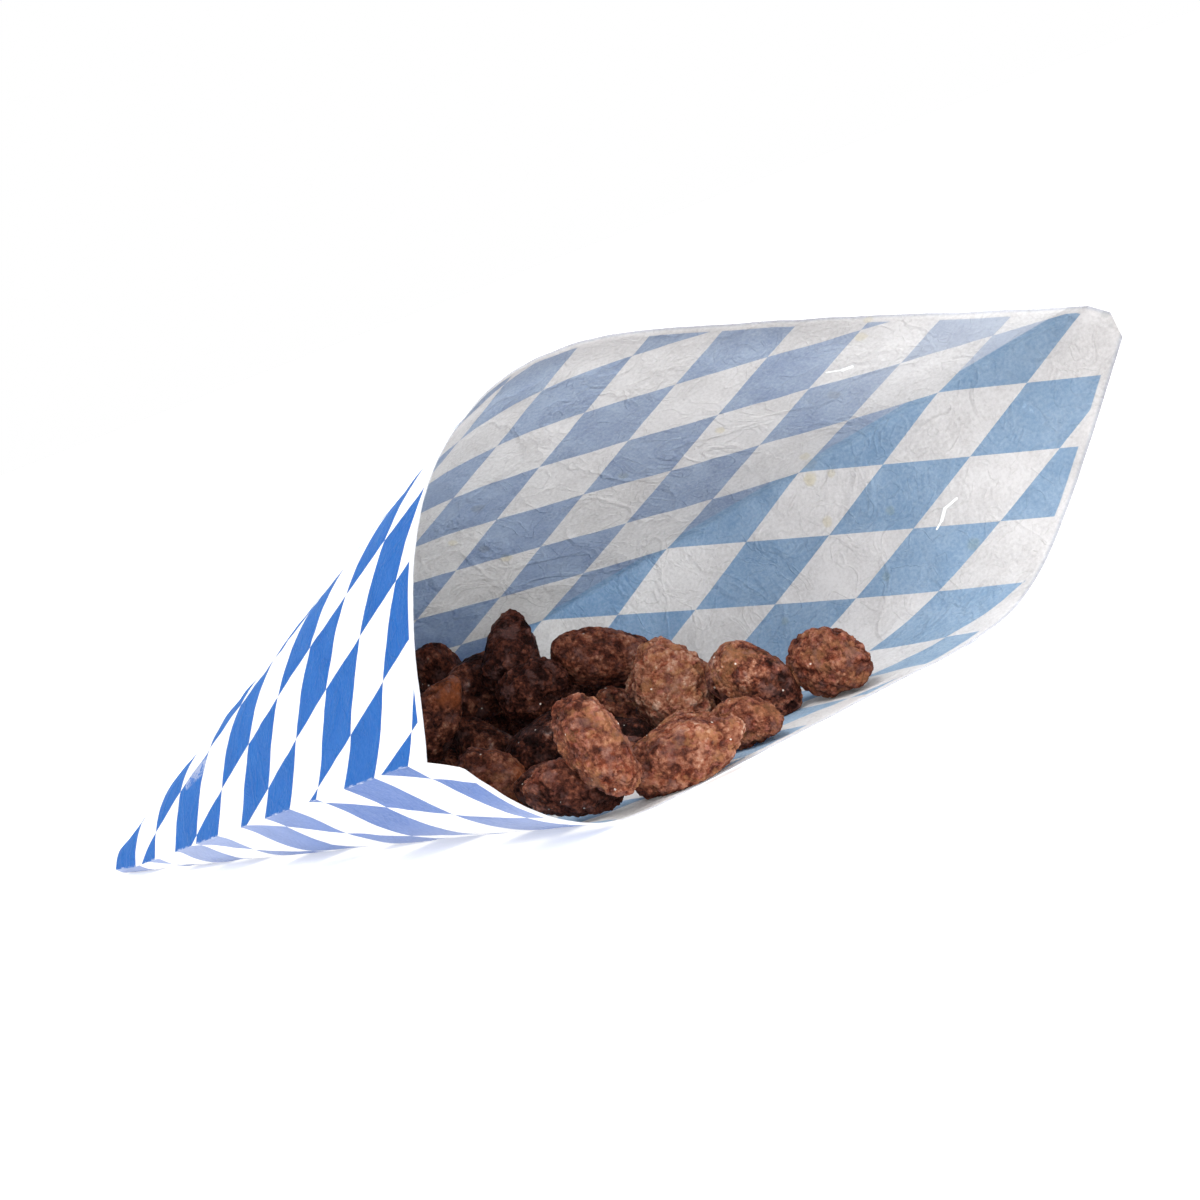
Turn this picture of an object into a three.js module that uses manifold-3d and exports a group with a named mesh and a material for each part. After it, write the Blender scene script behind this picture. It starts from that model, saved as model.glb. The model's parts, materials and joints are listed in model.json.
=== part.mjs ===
// A pointed paper bag of candied almonds, lying on its side. Millimetres, +Z up.
// The bag is a square sheet of paper rolled into a cone: every straight line through its apex stays straight.
import * as THREE from "three";
import { mergeVertices } from "three/addons/utils/BufferGeometryUtils.js";
import Module from "manifold-3d";

// Sheet: one leg runs from the apex along the glued edge to the mouth, on each side of the far fold.
// The far corner is blunt beyond CORNER_REACH from the apex.
const UPPER_LEG = 210;
const LOWER_LEG = 219;
const CORNER_REACH = 300.5;
const PANEL_ANGLE = 45;
const WALL = 0.5;
const STATION_STEP = 1.5;
// Crumpled point: the paper ends blunt at TIP from the apex and is pressed shut as far as HOLLOW_START.
const TIP = 9;
const TIP_ROUND = 6;
const HOLLOW_START = 32;
// Almonds: clearance to the paper, and how deep the filling behind them reaches.
const CLEARANCE = 0.35;
const LUMP = 0.045;
const TAPER = 0.18;

const DEG = Math.PI / 180;
const point = (y, z) => new THREE.Vector2(y, z);

// Cross-section of the bag 100 mm from the apex, as (y, z): flat underneath, a sharp fold on each side, a round crown.
const GLUED_EDGE = point(-31.5, 14);
const FAR_FOLD = point(31.5, 20);
const SECTION = 100;
const LOWER_PANEL = [
  new THREE.CubicBezierCurve(GLUED_EDGE, point(-24.5, 0), point(-18, 0), point(-12, 0)),
  new THREE.LineCurve(point(-12, 0), point(12, 0)),
  new THREE.CubicBezierCurve(point(12, 0), point(23.5, 0), point(27.5, 0), FAR_FOLD),
];
const UPPER_PANEL = [
  new THREE.CubicBezierCurve(FAR_FOLD, point(18.5, 30), point(18.5, 31), point(11.5, 36.3)),
  new THREE.CubicBezierCurve(point(11.5, 36.3), point(0, 45), point(-12, 42.9), point(-19, 35.6)),
  new THREE.CubicBezierCurve(point(-19, 35.6), point(-26, 28.3), point(-27.5, 20), GLUED_EDGE),
];

// Rulings of one panel: unit directions from the apex, with the angle that the flat sheet has there.
function rulings(curves, fromAngle) {
  const rows = [];
  for (const curve of curves) {
    for (const p of curve.getPoints(48)) {
      const direction = new THREE.Vector3(SECTION, p.x, p.y).normalize();
      const last = rows[rows.length - 1];
      const step = last ? direction.angleTo(last.direction) : 0;
      if (!last || step > 1e-6) {
        rows.push({ direction, angle: last ? last.angle + step : 0 });
      }
    }
  }
  const scale = PANEL_ANGLE / rows[rows.length - 1].angle;
  for (const row of rows) {
    row.angle = fromAngle + row.angle * scale;
  }
  return rows;
}

const LOWER_ROWS = rulings(LOWER_PANEL, -PANEL_ANGLE);
const UPPER_ROWS = rulings(UPPER_PANEL, 0);

// Direction of the ruling at a sheet angle, measured from the far fold: positive above it, negative below.
function ruling(angle) {
  const rows = angle < 0 ? LOWER_ROWS : UPPER_ROWS;
  let i = 1;
  while (i < rows.length - 1 && rows[i].angle < angle) {
    i += 1;
  }
  const share = (angle - rows[i - 1].angle) / (rows[i].angle - rows[i - 1].angle);
  return rows[i - 1].direction.clone().lerp(rows[i].direction, share).normalize();
}

// The sheet's two straight edges at the mouth; they meet at its far corner, which is worn blunt.
function rim(angle) {
  const upper = UPPER_LEG / Math.cos((PANEL_ANGLE - angle) * DEG);
  const lower = LOWER_LEG / Math.cos((PANEL_ANGLE + angle) * DEG);
  return Math.min(upper, lower, CORNER_REACH);
}

// Stations round the bag: evenly spaced, plus the ends of the flat bottom, the sheet's corner and the folds.
function stationAngles() {
  const flat = LOWER_ROWS.filter((row) => row.direction.z < 1e-9).map((row) => row.angle);
  const cornerBelow = Math.acos(LOWER_LEG / CORNER_REACH) / DEG - PANEL_ANGLE;
  const cornerAbove = PANEL_ANGLE - Math.acos(UPPER_LEG / CORNER_REACH) / DEG;
  const fixed = [-PANEL_ANGLE, flat[0], flat[flat.length - 1], cornerBelow, cornerAbove, 0];
  const angles = [...fixed];
  for (let a = -PANEL_ANGLE + STATION_STEP; a < PANEL_ANGLE - 0.1; a += STATION_STEP) {
    const onFlat = a > flat[0] && a < flat[flat.length - 1];
    if (!onFlat && fixed.every((f) => Math.abs(f - a) > 0.6)) {
      angles.push(a);
    }
  }
  return angles.sort((a, b) => a - b);
}

const ANGLES = stationAngles();
const DIRECTIONS = ANGLES.map(ruling);
const REACH = ANGLES.map((a, i) => (i === 0 ? UPPER_LEG : rim(a)));

// Where the ruling i starts when both of its facets move inwards by a distance.
function inwardShift(i, distance) {
  const n = DIRECTIONS.length;
  const before = DIRECTIONS[(i + n - 1) % n].clone().cross(DIRECTIONS[i]).normalize();
  const after = DIRECTIONS[i].clone().cross(DIRECTIONS[(i + 1) % n]).normalize();
  const share = distance / (1 + before.dot(after));
  return before.add(after).multiplyScalar(share);
}

// A ring of points round the bag, moved inwards by a distance, at the reach given for each station.
function ring(distance, reachAt) {
  return DIRECTIONS.map((d, i) => inwardShift(i, distance).addScaledVector(d, reachAt(i)));
}

const centreOf = (points) => points.reduce((s, p) => s.add(p), new THREE.Vector3()).divideScalar(points.length);

// A closed surface through rings of equal length, ended by a fan at each end.
function lofted(rings, firstCentre, lastCentre) {
  const corners = [];
  const triangle = (a, b, c) => corners.push(...a.toArray(), ...b.toArray(), ...c.toArray());
  const n = rings[0].length;
  for (let i = 0; i < n; i += 1) {
    const j = (i + 1) % n;
    triangle(firstCentre, rings[0][j], rings[0][i]);
    triangle(lastCentre, rings[rings.length - 1][i], rings[rings.length - 1][j]);
    for (let k = 0; k + 1 < rings.length; k += 1) {
      triangle(rings[k][i], rings[k][j], rings[k + 1][j]);
      triangle(rings[k][i], rings[k + 1][j], rings[k + 1][i]);
    }
  }
  const geometry = new THREE.BufferGeometry();
  geometry.setAttribute("position", new THREE.Float32BufferAttribute(corners, 3));
  return geometry;
}

// The paper: a rounded tip, the outside out to the rim, and the inside back to where the point is pressed shut.
function paperShell() {
  const blunt = ring(0, () => TIP + TIP_ROUND);
  const middle = centreOf(blunt);
  const shrunk = (share, x) => blunt.map((p) => p.clone().sub(middle).multiplyScalar(share).add(
    new THREE.Vector3(x, (middle.y * x) / middle.x, (middle.z * x) / middle.x)));
  const nose = new THREE.Vector3(TIP, (middle.y * TIP) / middle.x, (middle.z * TIP) / middle.x);
  const mid = shrunk(0.78, TIP + TIP_ROUND * 0.45);
  const tiny = shrunk(0.45, TIP + TIP_ROUND * 0.12);
  const outer = ring(0, (i) => REACH[i]);
  const inner = ring(WALL, (i) => REACH[i]);
  const start = ring(WALL, () => HOLLOW_START);
  return lofted([tiny, mid, blunt, outer, inner, start], nose, centreOf(start));
}

// The room inside the bag, at a distance from the paper's outside, past the mouth by a length.
function room(distance, past) {
  const start = ring(distance, () => HOLLOW_START + 2);
  const end = ring(distance, (i) => REACH[i] + past);
  return lofted([start, end], centreOf(start), centreOf(end));
}

const wasm = await Module();
wasm.setup();

function solidOf(geometry) {
  const plain = geometry.clone();
  plain.deleteAttribute("normal");
  plain.deleteAttribute("uv");
  const merged = mergeVertices(plain, 1e-4);
  return new wasm.Manifold(
    new wasm.Mesh({
      numProp: 3,
      vertProperties: merged.getAttribute("position").array,
      triVerts: new Uint32Array(merged.index.array),
    }),
  );
}

function geometryOf(solid) {
  const mesh = solid.getMesh();
  const geometry = new THREE.BufferGeometry();
  geometry.setAttribute("position", new THREE.Float32BufferAttribute(mesh.vertProperties, 3));
  geometry.setIndex(new THREE.BufferAttribute(mesh.triVerts, 1));
  return geometry;
}

// Almonds in the heap: centre from the apex, length, width and thickness, then heading, pitch and roll in degrees.
const ALMONDS = [
  { at: [122, 23, 27], size: [21, 13, 12], turn: [-55, 60, -170] },
  { at: [154, 17, 29], size: [19, 13, 12], turn: [85, 60, 50] },
  { at: [142, 15, 23], size: [22, 14, 12], turn: [65, 15, 75] },
  { at: [143, -2, 20], size: [22, 12, 11], turn: [45, 55, 85] },
  { at: [136, 15, 11], size: [20, 12, 11], turn: [5, -60, 55] },
  { at: [163, 10, 20], size: [22, 15, 13], turn: [20, 20, 90] },
  { at: [162, -13, 8], size: [19, 12, 11], turn: [10, -40, 60] },
  { at: [167, 2, 12], size: [22, 12, 11], turn: [45, 20, 80] },
  { at: [172, 25, 20], size: [25.5, 12.5, 11], turn: [40, -25, 80] },
  { at: [216, -35, 16], size: [23.5, 13, 11.5], turn: [-5, -65, 65] },
  { at: [207, -36, 9], size: [20.5, 12, 10], turn: [35, -25, 80] },
  { at: [195, 15, 13], size: [23, 16.5, 15], turn: [-20, -55, 30] },
  { at: [178, 18, 8], size: [16, 10, 9], turn: [20, -70, 70] },
  { at: [224, -18, 7], size: [24.5, 13.5, 12.5], turn: [40, 5, 85] },
  { at: [212, 22, 9], size: [21, 15, 13], turn: [15, -45, 65] },
  { at: [226, 0, 6], size: [16, 10.5, 10], turn: [15, -10, 75] },
  { at: [232, 22, 8], size: [20, 14.5, 13.5], turn: [0, -20, 65] },
  { at: [94, 12, 14], size: [21, 13, 12], turn: [25, 10, 0] },
  { at: [101, -10, 12], size: [22, 13, 11], turn: [-20, 15, 0] },
  { at: [85, -1, 7], size: [20, 12, 11], turn: [5, 5, 0] },
  { at: [111, 9, 7], size: [22, 13, 11], turn: [60, 0, 0] },
  { at: [156, 34, 11], size: [21, 13, 12], turn: [15, 20, 0] },
  { at: [194, 37, 10], size: [22, 13, 12], turn: [70, 5, 0] },
  { at: [123, -20, 10], size: [22, 13, 12], turn: [-25, 10, 0] },
  { at: [133, -7, 7], size: [21, 12, 11], turn: [35, 0, 0] },
  { at: [180, -4, 6], size: [19, 12, 10], turn: [80, 0, 0] },
  { at: [106, 3, 19], size: [20, 12, 11], turn: [-40, 10, 0] },
  { at: [174, -23, 8], size: [21, 12, 11], turn: [-35, 0, 0] },
  { at: [204, 0, 6], size: [20, 12, 10], turn: [25, 0, 0] },
  { at: [143, -23, 9], size: [21, 13, 11], turn: [20, 10, 0] },
  { at: [179, 38, 12], size: [21, 13, 12], turn: [-20, 10, 0] },
  { at: [132, 28, 10], size: [20, 12, 11], turn: [50, 20, 0] },
  { at: [74, 5, 12], size: [19, 12, 11], turn: [-15, 20, 0] },
  { at: [65, -2, 6], size: [19, 12, 10], turn: [10, 5, 0] },
  { at: [183, -17, 13], size: [21, 12, 11], turn: [10, -20, 0] },
  { at: [130, 8, 7], size: [20, 12, 11], turn: [-60, 0, 0] },
];
// The almonds that lie open at the mouth are finer than those underneath and deep in the bag.
const OPEN_ALMONDS = 17;

// One almond: an ellipsoid drawn to a point along its length, with the waves of its sugar crust.
function almond({ at, size, turn }, index) {
  const geometry = new THREE.IcosahedronGeometry(1, index < OPEN_ALMONDS ? 3 : 2);
  const position = geometry.getAttribute("position");
  const k = index + 1;
  for (let i = 0; i < position.count; i += 1) {
    const p = new THREE.Vector3().fromBufferAttribute(position, i);
    const broad = 1 - TAPER * p.x;
    const wave = Math.sin(4 * p.x + 1.9 * k) * Math.cos(3.5 * p.y + 2.3 * k);
    const ripple = Math.sin(5 * p.z + 3.1 * p.y + 1.3 * k);
    const crust = 1 + LUMP * (wave + 0.8 * ripple);
    p.multiply(new THREE.Vector3(1, broad, broad)).multiplyScalar(crust);
    position.setXYZ(i, (p.x * size[0]) / 2, (p.y * size[1]) / 2, (p.z * size[2]) / 2);
  }
  const [heading, pitch, roll] = turn;
  const placed = new THREE.Object3D();
  placed.position.set(...at);
  placed.rotation.set(roll * DEG, -pitch * DEG, heading * DEG, "ZYX");
  placed.updateMatrix();
  geometry.applyMatrix4(placed.matrix);
  return geometry;
}

// A prism from an outline, its depth running up from the ground.
function prism(outline, depth) {
  return new THREE.ExtrudeGeometry(new THREE.Shape(outline), { depth, bevelEnabled: false });
}

// What fills the hollows under the almonds: the foot of the room, low at the mouth and higher where they pile up.
function filling() {
  const side = [[56, -1], [234, -1], [232, 2], [205, 4], [190, 7], [160, 9], [130, 10], [100, 9], [62, 5]];
  const plan = [[50, -30], [130, -40], [205, -44], [222, -22], [236, 6], [236, 28], [205, 44], [150, 46], [50, 30]];
  const standing = prism(side.map(([x, z]) => point(x, z)), 120);
  standing.rotateX(Math.PI / 2);
  standing.translate(0, 60, 0);
  const seen = prism(plan.map(([x, y]) => point(x, y)), 60);
  seen.translate(0, 0, -5);
  return solidOf(room(WALL + CLEARANCE, 0)).intersect(solidOf(standing)).intersect(solidOf(seen));
}

// The heap: almonds and filling as one body, kept clear of the paper.
function heap() {
  let solid = filling();
  ALMONDS.forEach((row, index) => {
    solid = solid.add(solidOf(almond(row, index)));
  });
  solid = solid.intersect(solidOf(room(WALL + CLEARANCE, 25)));
  const bodies = solid.decompose();
  bodies.sort((a, b) => b.volume() - a.volume());
  return geometryOf(bodies[0]);
}

const paper = new THREE.Mesh(
  paperShell(),
  new THREE.MeshStandardMaterial({ color: 0x7f9fd6, roughness: 0.7, metalness: 0 }),
);
paper.name = "paper_cone";

const almonds = new THREE.Mesh(
  heap(),
  new THREE.MeshStandardMaterial({ color: 0x8a4e36, roughness: 0.6, metalness: 0 }),
);
almonds.name = "almond_heap";

// The whole stands on its flat underside, centred over the origin.
const bag = new THREE.Group();
bag.add(paper, almonds);
const box = new THREE.Box3().setFromObject(paper);
bag.position.set(-(box.min.x + box.max.x) / 2, -(box.min.y + box.max.y) / 2, -box.min.z);
export default bag;
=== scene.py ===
"""A pointed paper bag of candied almonds, lying open on a pale floor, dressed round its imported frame."""

import json
import math

import bpy
import numpy as np
from mathutils import Matrix, Vector

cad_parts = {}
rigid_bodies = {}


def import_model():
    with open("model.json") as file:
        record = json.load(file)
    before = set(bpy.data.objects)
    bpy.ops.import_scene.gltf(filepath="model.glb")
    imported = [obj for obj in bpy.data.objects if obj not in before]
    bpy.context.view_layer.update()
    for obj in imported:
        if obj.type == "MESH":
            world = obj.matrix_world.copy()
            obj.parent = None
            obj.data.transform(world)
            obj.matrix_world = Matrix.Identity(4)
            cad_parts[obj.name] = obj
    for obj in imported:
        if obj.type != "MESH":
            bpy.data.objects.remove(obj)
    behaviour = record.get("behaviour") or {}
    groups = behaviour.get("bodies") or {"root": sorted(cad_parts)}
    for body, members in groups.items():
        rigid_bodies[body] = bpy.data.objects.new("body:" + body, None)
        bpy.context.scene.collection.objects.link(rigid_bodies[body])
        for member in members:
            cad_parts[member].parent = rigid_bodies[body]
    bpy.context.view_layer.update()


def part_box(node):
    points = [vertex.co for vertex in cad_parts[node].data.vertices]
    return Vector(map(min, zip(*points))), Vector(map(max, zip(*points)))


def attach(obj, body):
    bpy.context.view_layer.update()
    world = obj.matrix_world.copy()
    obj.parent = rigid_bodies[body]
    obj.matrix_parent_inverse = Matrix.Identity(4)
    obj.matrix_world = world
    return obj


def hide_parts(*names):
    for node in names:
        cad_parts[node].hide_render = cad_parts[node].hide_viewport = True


bl_info = {
    "name": "Candied almonds in a paper bag",
    "version": (1, 0, 0),
    "blender": (4, 5, 0),
    "location": "View3D > Sidebar > Almonds",
    "description": "Makes the paper bag, its candied almonds and the studio",
    "category": "Object",
}

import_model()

MM = 0.001
DEG = math.pi / 180

# Sheet of the bag, in millimetres and degrees, measured from its apex.
UPPER_LEG = 210.0
LOWER_LEG = 219.0
CORNER_REACH = 300.5
PANEL_ANGLE = 45.0
NOTCH = 6.0
TIP = 9.0
TIP_ROUND = 6.0
PAPER = 0.2

# How finely the sheet is divided: points on each curve of the section, degrees between the frame's rulings
# and between the scene's, and rows along a ruling and round the tip.
CURVE_POINTS = 160
FRAME_STEP = 0.5
RULING_STEP = 0.28
RULING_ROWS = 110
TIP_ROWS = 4

# Dents in the paper, in millimetres: how large the broad and the fine ones are, how far from the glued edge
# and from the folds they fade out, and the share that is left on a fold.
BROAD_DENT = 26.0
FINE_DENT = 9.0
DENT_TO_GLUE = 8.0
DENT_TO_FOLD = 6.0
DENT_ON_FOLD = 0.15

# Sag of the mouth's top: depth in millimetres, then the sheet angle that it is deepest at and its width.
SAG, SAG_ANGLE, SAG_WIDTH = 1.8, 14.0, 5.0

# The glued edge: the sheet angles from which the lower and the upper panel follow it; how far its corner
# moves, and from which distance to the apex; how far the rest settles, how far from the apex that ends, and
# over which lengths it rises and falls.
GLUE_LOWER, GLUE_UPPER = 42.5, 40.5
CORNER_DROOP = (1.0, 0.55, -2.0)
DROOP_START = 172.0
EDGE_SETTLE = 1.2
SETTLE_END = 200.0
SETTLE_RISE, SETTLE_FALL = 15.0, 20.0

# Cross-section 100 mm from the apex, as Bezier corners (y, z): flat underneath, folded at both sides.
SECTION = 100.0
GLUED_EDGE = (-31.5, 14.0)
FAR_FOLD = (31.5, 20.0)
LOWER_PANEL = (
    (GLUED_EDGE, (-24.5, 0.0), (-18.0, 0.0), (-12.0, 0.0)),
    ((-12.0, 0.0), (-4.0, 0.0), (4.0, 0.0), (12.0, 0.0)),
    ((12.0, 0.0), (23.5, 0.0), (27.5, 0.0), FAR_FOLD),
)
UPPER_PANEL = (
    (FAR_FOLD, (18.5, 30.0), (18.5, 31.0), (11.5, 36.3)),
    ((11.5, 36.3), (0.0, 45.0), (-12.0, 42.9), (-19.0, 35.6)),
    ((-19.0, 35.6), (-26.0, 28.3), (-27.5, 20.0), GLUED_EDGE),
)

# Printed lozenges: side, acute half angle, and where their two families of lines start, in sides.
LOZENGE = 20.0
HALF_ANGLE = 23.0
ROW_START = 7.048
COLUMN_START = -8.048


# ---------------- the shape of the bag


def bezier_points(corners, count):
    """Cubic curve: each corner weighted by its Bernstein polynomial at evenly spaced shares."""
    t = np.linspace(0, 1, count)[:, None]
    a, b, c, d = (np.array(corner) for corner in corners)
    return (1 - t) ** 3 * a + 3 * (1 - t) ** 2 * t * b + 3 * (1 - t) * t * t * c + t**3 * d


def unit(ways):
    """Each row as a direction of length 1."""
    return ways / np.linalg.norm(ways, axis=1)[:, None]


def rulings(curves, start):
    """Unit directions from the apex through a section path, with the sheet angle that each one has.

    The sheet angle is the running sum of the angles between directions, scaled to one panel.
    """
    parts = [bezier_points(corners, CURVE_POINTS) for corners in curves]
    path = np.concatenate([parts[0], *(part[1:] for part in parts[1:])])
    ways = unit(np.column_stack([np.full(len(path), SECTION), path]))
    steps = np.linalg.norm(np.diff(ways, axis=0), axis=1)
    angle = np.concatenate([[0], np.cumsum(steps)])
    return start + angle * (PANEL_ANGLE / angle[-1]), ways


LOWER_ANGLES, LOWER_WAYS = rulings(LOWER_PANEL, -PANEL_ANGLE)
UPPER_ANGLES, UPPER_WAYS = rulings(UPPER_PANEL, 0.0)
SHEET_ANGLES = np.concatenate([LOWER_ANGLES, UPPER_ANGLES[1:]])
SHEET_WAYS = np.concatenate([LOWER_WAYS, UPPER_WAYS[1:]])


def directions(angles):
    """Direction of the ruling at each sheet angle, read off the section path."""
    return unit(np.column_stack([np.interp(angles, SHEET_ANGLES, SHEET_WAYS[:, k]) for k in range(3)]))


def rim(angles):
    """Reach of the sheet at each angle: the nearer of its two straight edges, blunt at the corner."""
    upper = UPPER_LEG / np.cos((PANEL_ANGLE - angles) * DEG)
    lower = LOWER_LEG / np.cos((PANEL_ANGLE + angles) * DEG)
    notch = UPPER_LEG + NOTCH * (angles + PANEL_ANGLE)
    return np.minimum(np.minimum(upper, lower), np.minimum(notch, CORNER_REACH))


def station_angles(step):
    """Sheet angles round the bag, evenly spaced between the folds, the flat's ends and the corner."""
    flat = LOWER_ANGLES[LOWER_WAYS[:, 2] < 1e-9]
    below = math.acos(LOWER_LEG / CORNER_REACH) / DEG - PANEL_ANGLE
    above = PANEL_ANGLE - math.acos(UPPER_LEG / CORNER_REACH) / DEG
    marks = [-PANEL_ANGLE, flat[0], flat[-1], below, above, 0.0, PANEL_ANGLE]
    parts = []
    for start, end in zip(marks, marks[1:]):
        count = max(1, round((end - start) / step))
        parts.append(np.linspace(start, end, count, endpoint=False))
    return np.concatenate(parts)


def inward_shifts(ways, distance):
    """Where each ruling starts once the facets on both its sides have moved inwards by a distance."""
    before = unit(np.cross(np.roll(ways, 1, axis=0), ways))
    after = unit(np.cross(ways, np.roll(ways, -1, axis=0)))
    share = distance / (1 + (before * after).sum(axis=1))
    return (before + after) * share[:, None]


def bag_origin():
    """The apex in the frame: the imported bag's box laid over the box of the same sheet."""
    angles = station_angles(FRAME_STEP)
    rim_points = directions(angles) * rim(angles)[:, None]
    low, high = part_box("paper_cone")
    x = low.x / MM - TIP
    y = (low.y + high.y) / 2 / MM - (rim_points[:, 1].min() + rim_points[:, 1].max()) / 2
    return np.array([x, y, low.z / MM])


APEX = bag_origin()


def to_frame(points):
    """Points measured from the apex in millimetres, as points of the frame in metres."""
    return (points + APEX) * MM


# ---------------- noise


def hashed(cells, seed):
    """A fixed random number from 0 to 1 for each whole-number cell."""
    h = cells.astype(np.int64)
    n = h[..., 0] * 73856093 ^ h[..., 1] * 19349663 ^ h[..., 2] * 83492791 ^ (seed * 2654435761 & 0xFFFFFFFF)
    n = (n ^ (n >> 13)) * 1274126177 & 0xFFFFFFFF
    n = (n ^ (n >> 16)) * 2246822519 & 0xFFFFFFFF
    return ((n ^ (n >> 15)) & 0xFFFFFF) / 0xFFFFFF


def smooth_noise(points, seed):
    """Random numbers on a cubic lattice, blended between its points by a smooth step."""
    base = np.floor(points)
    f = points - base
    f = f * f * (3 - 2 * f)
    total = np.zeros(len(points))
    for corner in np.ndindex(2, 2, 2):
        weight = np.prod(np.where(np.array(corner) == 1, f, 1 - f), axis=1)
        total += weight * hashed(base + np.array(corner), seed)
    return total


def layered_noise(points, seed, layers):
    """Sum of smooth noises, each twice as fine and half as strong as the one before, from 0 to 1."""
    total, weight = np.zeros(len(points)), 0.0
    for layer in range(layers):
        share = 0.5**layer
        total += share * smooth_noise(points * 2**layer + 17.3 * layer, seed + layer)
        weight += share
    return total / weight


def cell_noise(points, seed):
    """Distance from each point to the nearest of one random grain in every lattice cell."""
    base = np.floor(points)
    nearest = np.full(len(points), 9.0)
    for step in np.ndindex(3, 3, 3):
        cell = base + np.array(step) - 1
        grain = cell + np.column_stack([hashed(cell, seed + k) for k in range(3)])
        nearest = np.minimum(nearest, np.linalg.norm(points - grain, axis=1))
    return nearest


# ---------------- meshes


def store(items, key, values, kind=np.float32):
    """One property of all items of a mesh, from an array."""
    items.foreach_set(key, values.astype(kind).reshape(-1))


def mesh_object(name, points, quads, uv=None, slots=None, floats=None):
    """An object from arrays: points in metres, faces, a UV for each corner, and numbers for the points.

    Each face is a row of four corners; a triangle's last corner is -1.
    """
    mesh = bpy.data.meshes.new(name)
    counts = np.where(quads[:, 3] < 0, 3, 4)
    loops = quads.reshape(-1)
    keep = loops >= 0
    mesh.vertices.add(len(points))
    store(mesh.vertices, "co", points)
    mesh.loops.add(int(keep.sum()))
    store(mesh.loops, "vertex_index", loops[keep], np.int32)
    mesh.polygons.add(len(quads))
    store(mesh.polygons, "loop_start", np.cumsum(counts) - counts, np.int32)
    store(mesh.polygons, "loop_total", counts, np.int32)
    if slots is not None:
        store(mesh.polygons, "material_index", slots, np.int32)
    if uv is not None:
        store(mesh.uv_layers.new(name="Sheet").data, "uv", uv.reshape(-1, 2)[keep])
    for key, values in (floats or {}).items():
        store(mesh.attributes.new(key, "FLOAT", "POINT").data, "value", values)
    mesh.update(calc_edges=True)
    mesh.validate()
    mesh.shade_smooth()
    piece = bpy.data.objects.new(name, mesh)
    bpy.context.scene.collection.objects.link(piece)
    return piece


def grid_quads(rows, columns, offset=0, turned=False):
    """Faces of a grid whose columns close on themselves; turned flips which side they face."""
    i, j = np.meshgrid(np.arange(rows - 1), np.arange(columns), indexing="ij")
    k = (j + 1) % columns
    near, far = i * columns, (i + 1) * columns
    quads = np.stack([near + j, near + k, far + k, far + j], axis=-1).reshape(-1, 4) + offset
    return quads[:, ::-1] if turned else quads


def fan_triangles(ring, pole, turned=False):
    """Triangles from a ring of points to one pole."""
    tris = np.column_stack([np.full(len(ring), pole), np.roll(ring, -1), ring])
    if turned:
        tris = tris[:, ::-1]
    return np.column_stack([tris, np.full(len(ring), -1)])


def unit_ball(rings, around, fullness=1.0):
    """A unit ball with its poles on the x axis: rings of points and two poles, and the faces over them.

    A point's x is the cosine of its angle from the pole. Its ring's radius is the sine of that angle, raised
    to the fullness: less than one makes the ends blunter.
    """
    a = np.linspace(0, math.pi, rings + 2)[1:-1]
    b = np.linspace(0, 2 * math.pi, around, endpoint=False)
    a, b = (grid.reshape(-1) for grid in np.meshgrid(a, b, indexing="ij"))
    wide = np.sin(a) ** fullness
    ball = np.column_stack([np.cos(a), wide * np.cos(b), wide * np.sin(b)])
    first, last, pole = np.arange(around), np.arange(around) + (rings - 1) * around, rings * around
    faces = np.concatenate([
        grid_quads(rings, around, turned=True),
        fan_triangles(first, pole, turned=True),
        fan_triangles(last, pole + 1),
    ])
    return np.concatenate([ball, [[1, 0, 0], [-1, 0, 0]]]), faces


# ---------------- materials


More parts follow.
